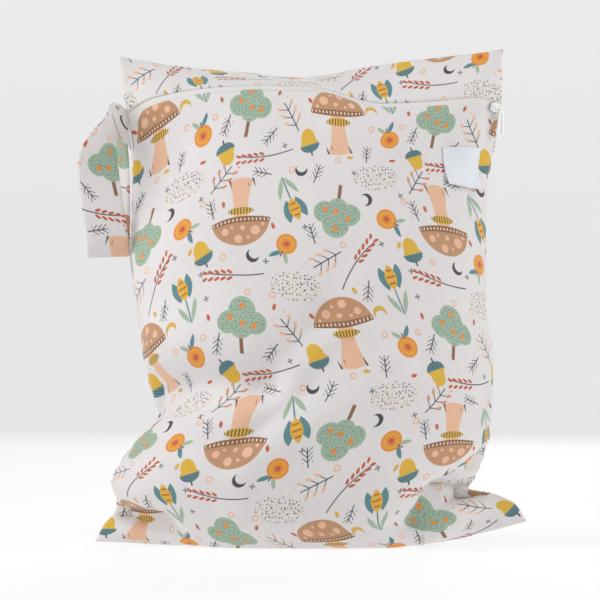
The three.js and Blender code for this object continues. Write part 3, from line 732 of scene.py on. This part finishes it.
# %% A socket that can be calculated with
class Wire:
    def __init__(self, tree, socket):
        self.tree = tree
        self.socket = socket

    def node(self, kind, settings=None, inputs=None, output=0):
        """Any node, from its type, its settings and the values or wires of its sockets."""
        node = self.tree.nodes.new(kind)
        for name, value in (settings or {}).items():
            setattr(node, name, value)
        for key, value in (inputs or {}).items():
            if isinstance(value, Wire):
                self.tree.links.new(value.socket, node.inputs[key])
            else:
                node.inputs[key].default_value = value
        return Wire(self.tree, node.outputs[output])

    def math(self, operation, *values):
        return self.node("ShaderNodeMath", {"operation": operation}, dict(enumerate(values)))

    def vector(self, operation, *values, output=0):
        inputs = dict(enumerate((self, *values)))
        return self.node("ShaderNodeVectorMath", {"operation": operation}, inputs, output)

    def __add__(self, other):
        return self.math("ADD", self, other)

    def __sub__(self, other):
        return self.math("SUBTRACT", self, other)

    def __mul__(self, other):
        return self.math("MULTIPLY", self, other)

    def __truediv__(self, other):
        return self.math("DIVIDE", self, other)

    def __radd__(self, other):
        return self.math("ADD", other, self)

    def __rsub__(self, other):
        return self.math("SUBTRACT", other, self)

    def __rmul__(self, other):
        return self.math("MULTIPLY", other, self)

    def __neg__(self):
        return self.math("MULTIPLY", self, -1.0)

    def __abs__(self):
        return self.math("ABSOLUTE", self)

    def __lt__(self, other):
        return self.math("LESS_THAN", self, other)

    def __gt__(self, other):
        return self.math("GREATER_THAN", self, other)

    def both(self, other):
        return self.math("MAXIMUM", self, other)

    def either(self, other):
        return self.math("MINIMUM", self, other)

    def wrapped(self, low, high):
        return self.math("WRAP", self, high, low)

    def root(self):
        return self.math("SQRT", self)

    def sine(self):
        return self.math("SINE", self)

    def length(self):
        return self.vector("LENGTH", output=1)

    def mixed(self, factor, other, kind="RGBA"):
        """This colour or vector where the factor is 0, the other where it is 1."""
        slots = {"RGBA": (6, 7, 2), "VECTOR": (4, 5, 1)}[kind]
        inputs = {0: factor, slots[0]: self, slots[1]: other}
        return self.node("ShaderNodeMix", {"data_type": kind}, inputs, slots[2])

    def xy(self):
        parts = self.node("ShaderNodeSeparateXYZ", inputs={0: self})
        return parts, Wire(self.tree, parts.socket.node.outputs[1])


def linear(red, green, blue):
    """A colour from 0 to 255 as the eye names it, in the shader's linear light."""
    def channel(value):
        value /= 255
        return value / 12.92 if value <= 0.04045 else ((value + 0.055) / 1.055) ** 2.4
    return (channel(red), channel(green), channel(blue), 1.0)


def new_material(name):
    material = bpy.data.materials.new(name)
    material.use_nodes = True
    tree = material.node_tree
    surface = tree.nodes["Principled BSDF"]
    start = Wire(tree, surface.outputs[0])
    return material, surface, start


def plug(wire, socket):
    wire.tree.links.new(wire.socket, socket)


print("white as light:", linear(255, 255, 255))

# %% [markdown]
# ## The print
# The print is a charted repeat of about 15 cm: mushrooms, round bushes, tulips,
# berries, wheat, acorns and small fillers. Each kind has its own short list of places in the
# repeat, as x, y and turn in degrees. Adding a whole turn picks the second colouring.

# %% Colours and the chart
INK = {
    "tan": linear(192, 146, 110),
    "brown": linear(141, 98, 68),
    "peach": linear(232, 186, 156),
    "cream": linear(240, 222, 200),
    "orange": linear(233, 142, 62),
    "rust": linear(197, 96, 62),
    "mustard": linear(222, 178, 62),
    "teal": linear(92, 136, 142),
    "sage": linear(163, 184, 160),
    "dark": linear(74, 72, 78),
    "grey": linear(126, 126, 130),
}
CLOTH_COLOUR = linear(230, 226, 225)
CLOTH_SHADE = linear(223, 219, 219)
REPEAT = (148, 152)
SECOND = 360
CHART = {
    "mushroom": ((20, 33, 8), (100, 114, 186)),
    "bush": ((98, 37, -6), (21, 116, 172)),
    "tulip": ((58, 61, 16), (135, 125, -155)),
    "dots": ((50, 141, 4), (137, 63, -6)),
    "berry": ((61, 22, 20), (56, 110, -115), (133, 92, 150)),
    "sprig": ((131, 32, 35), (12, 81, 120), (82, 140, -35 + SECOND)),
    "wheat": ((94, 71, 84), (33, 80, -38), (113, 4, 97)),
    "acorn": ((82, 8, 24), (147, 14, -160), (73, 88, 200)),
    "twig": ((44, 8, 0), (39, 60, 170), (78, 118, 20), (6, 143, -20), (116, 19, 140),
             (113, 144, 80), (80, 27, 160), (3, 99, 15)),
    "moon": ((109, 84, 30), (45, 45, -100 + SECOND), (142, 146, 60), (42, 124, 170)),
    "drop": ((75, 46, 10), (63, 3, 100), (29, 61, 30 + SECOND), (64, 93, -20 + SECOND),
             (121, 48, 160), (86, 122, 20), (30, 5, 90 + SECOND), (145, 44, 40), (124, 104, 200 - SECOND)),
    "plus": ((74, 58, 20), (118, 80, 0), (128, 12, 30), (34, 144, 15),
             (51, 92, 25), (146, 104, 10), (68, 128, 30), (71, 75, 0)),
    "ring": ((70, 33, 0), (88, 84, 0), (46, 30, 0), (121, 57, 0), (22, 2, 0), (24, 92, 0),
             (104, 59, 0), (135, 146, 0), (70, 124, 0)),
}
print("motifs in a repeat:", sum(len(places) for places in CHART.values()))

# %% [markdown]
# To draw a motif that has many places in the repeat, the shader finds the nearest place,
# carries the point into that place's own axes and draws the motif once. The turn travels with
# the point as its z, scaled down so far that it doesn't count in the distance.

# %% The nearest place and the basic shapes
TURN_SCALE = 1e-4
SECOND_FROM = math.radians(216)
FAR = 1000.0
INK_EDGE = 0.28


def nearest_place(flat, places):
    half = (REPEAT[0] / 2, REPEAT[1] / 2, FAR)
    best = None
    for x, y, turn in places:
        here = flat.vector("SUBTRACT", (x, y, -math.radians(turn) * TURN_SCALE))
        here = here.vector("WRAP", half, tuple(-value for value in half))
        best = here if best is None else best.mixed(here.length() < best.length(), here, "VECTOR")
    turn = best.node("ShaderNodeSeparateXYZ", inputs={0: best}, output=2) * (-1 / TURN_SCALE)
    level = best.vector("MULTIPLY", (1, 1, 0))
    point = level.node("ShaderNodeVectorRotate", {"rotation_type": "Z_AXIS"},
                       {"Vector": level, "Angle": turn})
    return point, turn < -SECOND_FROM


def disc(point, centre, radius):
    return point.vector("DISTANCE", (*centre, 0), output=1) - radius


def oval(point, centre, radii):
    scaled = point.vector("SUBTRACT", (*centre, 0)).vector("DIVIDE", (*radii, 1))
    return (scaled.length() - 1) * min(radii)


def bar(along, across, low, high, half_width):
    """A straight bar along one coordinate."""
    middle, half = (low + high) / 2, (high - low) / 2
    return (abs(along - middle) - half).both(abs(across) - half_width)


def leaf(x, y, centre, length, width, lean=0.0):
    """A pointed oval along y that leans to one side."""
    dx = x - centre[0] - (y - centre[1]) * lean
    dy = (y - centre[1]) / (length / 2)
    return abs(dx) - (1 - dy * dy) * (width / 2)


def inked(colour, distance, ink):
    """Lays an ink over a colour wherever the distance is below zero."""
    mask = distance.node("ShaderNodeMapRange", {"interpolation_type": "SMOOTHSTEP"},
                         {0: distance, 1: INK_EDGE, 2: -INK_EDGE})
    return colour.mixed(mask, ink)


print("places of the mushroom:", CHART["mushroom"])

# %% [markdown]
# Each motif is a short function: it takes the colour so far and gives it back with the motif
# laid over it, in millimetres about the motif's own middle.

# %% The large motifs
def mushroom(colour, point, second):
    x, y = point.xy()
    stem = (abs(x) - 5.2 - (y + 3) * (y + 3) * 0.009).both(disc(point, (0, -8), 18.5)).both(y - 4)
    colour = inked(colour, stem, INK["peach"])
    colour = inked(colour, oval(point, (0, -1.8), (9.0, 2.8)), INK["mustard"])
    fringe = bar(y, x.wrapped(-1.1, 1.1), -4.4, 0.4, 0.4).both(oval(point, (0, -1.8), (9.0, 2.8)))
    colour = inked(colour, fringe, INK["dark"])
    cap = oval(point, (0, 3), (21, 20)).both(2.2 - y + x * x * 0.006)
    colour = inked(colour, cap, INK["tan"])
    edge = cap.both(y - 6.4 - x * x * 0.004)
    colour = inked(colour, edge, INK["brown"])
    ticks = (abs(x.wrapped(-1.4, 1.4)) - 0.5).both(abs(y - 4.4 - x * x * 0.005) - 0.9)
    colour = inked(colour, ticks.both(cap + 0.8), INK["cream"])
    for centre, radius in (((-10, 13), 3.4), ((2.5, 18), 2.8), ((11.5, 12), 2.5), ((-1, 10.5), 1.7),
                           ((6.5, 9.5), 1.1), ((-4.5, 17.5), 1.1), ((-15.5, 9), 1.2)):
        colour = inked(colour, disc(point, centre, radius), INK["peach"])
    blades = (x + (y + 25) * 0.3).wrapped(-2.2, 2.2)
    grass = (abs(blades) - 0.75 - (y + 25) * -0.1).both(abs(y + 22.5) - 3).both(abs(x) - 11)
    return inked(colour, grass.both(5.5 - abs(x)), INK["dark"])


def bush(colour, point, second):
    x, y = point.xy()
    colour = inked(colour, bar(y, x, -19, -4, 1.3), INK["brown"])
    crown = disc(point, (0, 10), 9.5).either(disc(point, (-9, 2), 7.8)).either(disc(point, (9, 2), 7.8))
    crown = crown.either(disc(point, (0, -1), 8))
    colour = inked(colour, crown, INK["sage"])
    flecks = point.node("ShaderNodeTexVoronoi", {"voronoi_dimensions": "2D"},
                        {"Vector": point, "Scale": 0.5})
    colour = inked(colour, (flecks * 2 - 0.42).both(crown + 1), INK["teal"])
    for centre in ((-8, 5), (0, 13), (8.5, 0), (1, 1)):
        colour = inked(colour, disc(point, centre, 1.9), INK["orange"])
    return colour


def tulip(colour, point, second):
    x, y = point.xy()
    wide = abs(x)
    colour = inked(colour, bar(y, x, -17, 2, 0.55), INK["teal"])
    colour = inked(colour, leaf(wide, y, (4.2, -9), 15, 3.8, 0.42), INK["sage"])
    colour = inked(colour, leaf(wide, y, (5.0, 8.5), 17, 6.5, 0.16), INK["teal"])
    colour = inked(colour, leaf(x, y, (0, 8.5), 18, 8.2), INK["mustard"])
    stripes = abs(y.wrapped(-2.2, 2.2)) - 0.65
    return inked(colour, stripes.both(leaf(x, y, (0, 8.5), 15, 6.4)), INK["rust"])


def dots(colour, point, second):
    flecks = point.node("ShaderNodeTexVoronoi", {"voronoi_dimensions": "2D"},
                        {"Vector": point, "Scale": 0.42, "Randomness": 0.8})
    field = oval(point, (0, 0), (17.5, 10))
    tint = Wire(point.tree, flecks.socket.node.outputs["Color"]).xy()[0]
    dark = (flecks * 2.38 - 0.25 - tint * 0.4).both(field).both(0.45 - tint)
    light = (flecks * 2.38 - 0.5).both(field).both(tint - 0.45)
    return inked(inked(colour, light, INK["mustard"]), dark, INK["dark"])


print("large motifs: mushroom, bush, tulip, dots")

# %% The middle-sized motifs
def berry(colour, point, second):
    x, y = point.xy()
    colour = inked(colour, leaf(x, y, (3.6, 9.5), 9, 4.2, 0.7), INK["teal"])
    colour = inked(colour, leaf(x, y, (-3.6, 9), 8, 3.8, -0.7), INK["sage"])
    ball = disc(point, (0, 0), 7.2)
    colour = inked(colour, ball, INK["orange"])
    colour = inked(colour, abs(ball + 2.4) - 0.55, INK["mustard"])
    colour = inked(colour, ball + 5.2, INK["rust"])
    return inked(colour, bar(y, x, 6, 10, 0.45), INK["dark"])


def sprig(colour, point, second):
    x, y = point.xy()
    wide = abs(x)
    colour = inked(colour, bar(y, x, -12, 11, 0.42), INK["dark"])
    arms = (abs(y.wrapped(-3, 3) - wide * 0.8 + 1.6) - 0.4).both(wide - 4.8).both(abs(y) - 9)
    colour = inked(colour, arms, INK["dark"])
    tips = (y - wide * 0.8 + 1.6).wrapped(-3, 3)
    berries = (tips * tips + (wide - 5.6) * (wide - 5.6)).root() - 1.55
    berries = berries.both(abs(y - 4) - 10)
    return inked(inked(colour, berries, INK["peach"]), berries.both(1 - second), INK["rust"])


def wheat(colour, point, second):
    x, y = point.xy()
    wide = abs(x)
    bend = x - y * y * 0.006
    colour = inked(colour, bar(y, bend, -22, 20, 0.42), INK["dark"])
    step = (y - wide * 0.9).wrapped(-2.3, 2.3)
    grain = (step * step * 0.35 + (wide - 2.3) * (wide - 2.3) * 0.5) - 0.95
    return inked(colour, grain.both(abs(y - 11) - 11), INK["rust"])


def acorn(colour, point, second):
    x, y = point.xy()
    nut = oval(point, (0, -2.5), (5.6, 7.8)).either(abs(x * 1.6) + (y + 9.4) * -1 - 1.4).both(y - 2)
    colour = inked(colour, nut.both(-11.8 - y), INK["mustard"])
    cap = oval(point, (0, 1.5), (7.4, 5.4)).both(1 - y)
    colour = inked(colour, cap, INK["teal"])
    lines = abs((x + y).wrapped(-1.1, 1.1)) - 0.3
    colour = inked(colour, lines.both(cap + 0.6), INK["dark"])
    return inked(colour, bar(y, x, 6.4, 9.6, 0.6), INK["dark"])


print("middle motifs: berry, sprig, wheat, acorn")

# %% The small motifs
def twig(colour, point, second):
    x, y = point.xy()
    wide = abs(x)
    arms = (abs((y - wide * 1.15).wrapped(-1.7, 1.7)) - 0.42).both(wide - 3.4).both(abs(y - 2) - 5.4)
    stem = bar(y, x, -7, 6, 0.42)
    return inked(colour, arms.either(stem), INK["dark"])


def moon(colour, point, second):
    crescent = disc(point, (0, 0), 4.6).both(-disc(point, (2.1, 0.9), 3.9))
    colour = inked(colour, crescent, INK["dark"])
    return inked(colour, crescent.both(second * -FAR + FAR / 2), INK["mustard"])


def drop(colour, point, second):
    x, y = point.xy()
    width = 1.75 - y * 0.42
    body = ((x * x + y * y * 0.34).root() - 0.62 * width).both(y - 3.6)
    colour = inked(colour, body, INK["rust"])
    return inked(colour, body.both(second * -FAR + FAR / 2), INK["mustard"])


def plus(colour, point, second):
    x, y = point.xy()
    cross = bar(y, x, -2.1, 2.1, 0.5).either(bar(x, y, -2.1, 2.1, 0.5))
    return inked(colour, cross, INK["grey"])


def ring(colour, point, second):
    return inked(colour, abs(point.length() - 1.9) - 0.5, INK["peach"])


MOTIFS = {motif.__name__: motif for motif in (
    mushroom, bush, tulip, dots, berry, sprig, wheat, acorn, twig, moon, drop, plus, ring)}
print("small motifs: twig, moon, drop, plus, ring")

# %% [markdown]
# ## The printed cloth
# The knit shows as fine upright ribs, one for each column of loops. They are bump and painted
# shade, a trace of grey in the grooves, for they are far finer than the mesh. A slow noise keeps
# the white from being one flat tone, and another one loosens the surface.

# %% Printed cloth
RIB_SPACING = 1.35
RIB_DEPTH = 0.09
RIB_SHADE = 0.09
LOOP_SPACING = RIB_SPACING * 0.8
SLACK_BUMP = 0.5


def knit_ribs(flat):
    x = flat.xy()[0]
    return abs((x * (math.pi / RIB_SPACING)).sine())


def knit_bump(flat, ribs):
    y = flat.xy()[1]
    loops = abs((y * (math.pi / LOOP_SPACING)).sine())
    slack = flat.node("ShaderNodeTexNoise", {"noise_dimensions": "2D"},
                      {"Vector": flat, "Scale": 0.06, "Detail": 2.5, "Roughness": 0.45})
    soft = flat.node("ShaderNodeBump", None, {
        "Strength": 0.5, "Distance": SLACK_BUMP * MM, "Height": slack})
    height = ribs * 0.75 + loops * ribs * 0.35
    return flat.node("ShaderNodeBump", None, {
        "Strength": 0.8, "Distance": RIB_DEPTH * MM, "Height": height, "Normal": soft})


def printed_cloth():
    material, surface, start = new_material("printed_cloth")
    placed = start.node("ShaderNodeUVMap", {"uv_map": "cloth"})
    flat = placed.vector("MULTIPLY", (DECIMETRE, DECIMETRE, 0))
    tone = start.node("ShaderNodeTexNoise", {"noise_dimensions": "2D"},
                      {"Vector": placed, "Scale": 1.3, "Detail": 3.0})
    colour = tone.node("ShaderNodeMix", {"data_type": "RGBA"},
                       {0: tone, 6: CLOTH_COLOUR, 7: CLOTH_SHADE}, 2)
    for name, places in CHART.items():
        point, second = nearest_place(flat, places)
        colour = MOTIFS[name](colour, point, second)
    ribs = knit_ribs(flat)
    # Painted shade: the rib grooves are darkened towards grey.
    plug(colour.mixed((1 - ribs) * RIB_SHADE, INK["grey"]), surface.inputs["Base Color"])
    surface.inputs["Roughness"].default_value = 0.78
    surface.inputs["Sheen Weight"].default_value = 0.25
    surface.inputs["Sheen Roughness"].default_value = 0.5
    surface.inputs["Specular IOR Level"].default_value = 0.3
    plug(knit_bump(flat, ribs), surface.inputs["Normal"])
    return material


printed = printed_cloth()
print("nodes in the print:", len(printed.node_tree.nodes))

# %% [markdown]
# ## The plainer finishes
# The zip tape is a woven twill, its coil is nylon, the slider and pull are white enamel and
# the label is satin, whose fine threads run across it.

# %% Tape, nylon, enamel and satin
THREADS_ACROSS = 9.0


def tape_finish():
    material, surface, start = new_material("zip_tape_weave")
    place = start.node("ShaderNodeTexCoord", output=3)
    wave = start.node("ShaderNodeTexWave", {"bands_direction": "DIAGONAL"},
                      {"Vector": place, "Scale": 600.0, "Distortion": 0.6})
    tone = wave.node("ShaderNodeMix", {"data_type": "RGBA"},
                     {0: wave, 6: linear(222, 219, 216), 7: linear(231, 228, 225)}, 2)
    plug(tone, surface.inputs["Base Color"])
    surface.inputs["Roughness"].default_value = 0.75
    bump = start.node("ShaderNodeBump", None, {"Strength": 0.5, "Distance": 0.0001, "Height": wave})
    plug(bump, surface.inputs["Normal"])
    return material


def speckled(name, light, dark, roughness, scale, depth):
    """A plain finish with a little unevenness of tone and surface."""
    material, surface, start = new_material(name)
    place = start.node("ShaderNodeTexCoord", output=3)
    noise = start.node("ShaderNodeTexNoise", None, {"Vector": place, "Scale": scale, "Detail": 4.0})
    tone = noise.node("ShaderNodeMix", {"data_type": "RGBA"}, {0: noise, 6: light, 7: dark}, 2)
    plug(tone, surface.inputs["Base Color"])
    plug(noise * 0.12 + roughness, surface.inputs["Roughness"])
    bump = start.node("ShaderNodeBump", None, {"Strength": 0.3, "Distance": depth, "Height": noise})
    plug(bump, surface.inputs["Normal"])
    return material


def satin_finish():
    material, surface, start = new_material("label_satin")
    placed = start.node("ShaderNodeUVMap", {"uv_map": "cloth"})
    flat = placed.vector("MULTIPLY", (DECIMETRE, DECIMETRE, 0))
    threads = abs((flat.xy()[1] * THREADS_ACROSS).sine())
    weave = start.node("ShaderNodeTexNoise", {"noise_dimensions": "2D"},
                       {"Vector": flat, "Scale": 0.35, "Detail": 5.0})
    tone = threads * 0.35 + weave * 0.65
    colour = tone.node("ShaderNodeMix", {"data_type": "RGBA"},
                       {0: tone, 6: linear(217, 221, 229), 7: linear(231, 233, 238)}, 2)
    plug(colour, surface.inputs["Base Color"])
    surface.inputs["Roughness"].default_value = 0.42
    surface.inputs["Sheen Weight"].default_value = 0.3
    bump = start.node("ShaderNodeBump", None, {"Strength": 0.5, "Distance": 0.00006, "Height": threads})
    plug(bump, surface.inputs["Normal"])
    return material


tape_weave = tape_finish()
nylon = speckled("coil_nylon", linear(243, 242, 240), linear(230, 229, 227), 0.4, 900.0, 0.00005)
enamel = speckled("white_enamel", linear(247, 247, 245), linear(236, 236, 233), 0.22, 260.0, 0.00003)
satin = satin_finish()
print("finishes:", ", ".join(material.name for material in (tape_weave, nylon, enamel, satin)))

# %% [markdown]
# The floor is a plain pale disc that turns up into a low wall far from the bag, so no horizon
# shows. It glows a little by itself, as an overexposed studio sweep does.

# %% Floor
FLOOR_RADIUS = 5.0
WALL_HEIGHT = 1.0
FLOOR_GLOW = 0.72
FLOOR_SIDES = 96
FLAT_RADII = (0.5, 1.5, 3.0)


def add_floor():
    bend = np.linspace(0, math.pi / 2, 13)
    radii = np.concatenate((FLAT_RADII, FLOOR_RADIUS + WALL_HEIGHT * np.sin(bend)))
    heights = np.concatenate((np.zeros(len(FLAT_RADII)), WALL_HEIGHT * (1 - np.cos(bend))))
    turn = np.arange(FLOOR_SIDES) * 2 * math.pi / FLOOR_SIDES
    rings = [(r * math.cos(t), r * math.sin(t), z) for r, z in zip(radii, heights) for t in turn]
    quads = []
    for ring in range(len(radii) - 1):
        for side in range(FLOOR_SIDES):
            after = (side + 1) % FLOOR_SIDES
            here, above = ring * FLOOR_SIDES, (ring + 1) * FLOOR_SIDES
            quads.append((here + side, above + side, above + after, here + after))
    mesh = bpy.data.meshes.new("floor")
    mesh.from_pydata(rings, [], [tuple(range(FLOOR_SIDES)), *quads])
    mesh.shade_smooth()
    floor = bpy.data.objects.new("floor", mesh)
    bpy.context.scene.collection.objects.link(floor)
    material, surface = new_material("floor_white")[:2]
    surface.inputs["Base Color"].default_value = (0.25, 0.25, 0.25, 1)
    surface.inputs["Roughness"].default_value = 0.9
    surface.inputs["Emission Color"].default_value = (1, 1, 1, 1)
    surface.inputs["Emission Strength"].default_value = FLOOR_GLOW
    mesh.materials.append(material)


add_floor()
print("floor:", 2 * FLOOR_RADIUS, "m wide")

# %% [markdown]
# ## Dress the frame
# Every new piece rides on the bag and stands for its solid. The coil, slider and pull keep
# their solids, with a better finish.

# %% Finishes and bodies
BODY = "bag"


def dress(piece, material, node):
    piece.data.materials.append(material)
    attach(piece, BODY)
    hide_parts(node)


dress(front_cloth, printed, "front_panel")
dress(back_cloth, printed, "back_panel")
dress(flap_cloth, printed, "top_flap")
dress(strap_cloth, printed, "hang_strap")
dress(label_cloth, satin, "label")
dress(tape_cloth, tape_weave, "zip_tape")
for node, material in (("zip_coil", nylon), ("zip_slider", enamel), ("zip_pull", enamel)):
    solid = bpy.data.objects[node]
    for slot in solid.material_slots:
        slot.material = material

# %% [markdown]
# The strap, the label and the panels are sheets of cloth. The sizes they were cut to are
# worked out below and kept nowhere. The narrow tape is sewn to the front and counts with it.

def flat_size(width, height):
    return (width * MM, height * MM)


flat_size(BAG_WIDTH, ZIP_UP * BAG_HEIGHT + TAPE_TUCK)
flat_size(BAG_WIDTH, BAG_HEIGHT)
flat_size(BAG_WIDTH, (1 - FLAP_FROM) * BAG_HEIGHT)
flat_size(STRAP_WIDTH, strap_length)
flat_size(LABEL_WIDTH, LABEL_HEIGHT)
